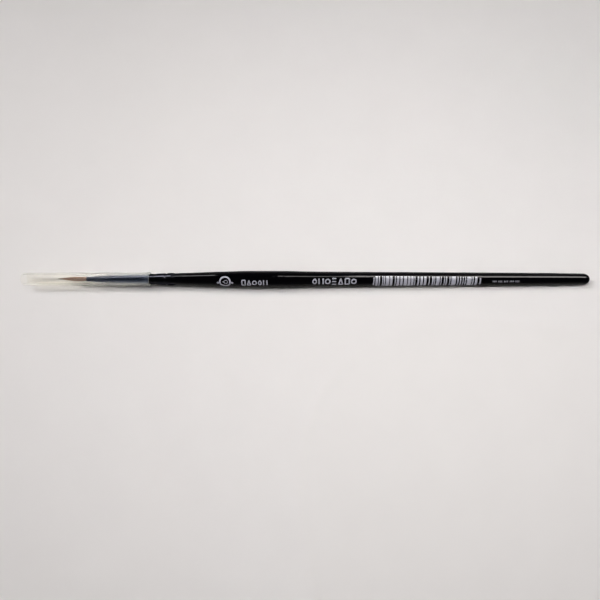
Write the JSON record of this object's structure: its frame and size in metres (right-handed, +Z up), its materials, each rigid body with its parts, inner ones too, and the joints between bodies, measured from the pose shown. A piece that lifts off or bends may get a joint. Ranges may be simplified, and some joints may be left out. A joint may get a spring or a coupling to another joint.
{
  "type": "fine detail brush",
  "caption": "Slim round detail brush: lacquered wooden handle, crimped tapered ferrule, pointed hair and a clear protective tube that slides off.",
  "frame": {"origin": "on the brush's axis, at the middle of the handle's belly, where fingers or a holder grip it", "axes": "+X along the brush towards the butt, -X towards the hair's tip, +Z up as the brush lies"},
  "size_m": [0.1943, 0.0056, 0.0056],
  "materials": {
    "lacquered_wood": "gloss",
    "black_plated_metal": "polished",
    "wood_adhesive": "satin",
    "hair": "satin",
    "thread": "matte",
    "cured_resin": "gloss",
    "clear_plastic": "gloss",
    "grey_print": "satin"
  },
  "bodies": {
    "brush": {"handle": "lacquered_wood", "ferrule": "black_plated_metal", "tenon_glue": "wood_adhesive", "hair_roots": "hair", "binding_thread": "thread", "root_resin": "cured_resin"},
    "tuft": {"hair_tuft": "hair"},
    "cap": {"protective_tube": "clear_plastic"}
  },
  "joints": [
    {"name": "tube_slide", "type": "slide", "parent": "brush", "child": "cap", "axis": [-1, 0, 0], "range_m": [0, 0.045]},
    {"name": "tuft_bend", "type": "hinge", "parent": "brush", "child": "tuft", "pos_m": [-0.0603, 0, 0], "axis": [0, 1, 0], "range_deg": [-8, 8], "stiffness_Nm_per_rad": 0.00015}
  ]
}
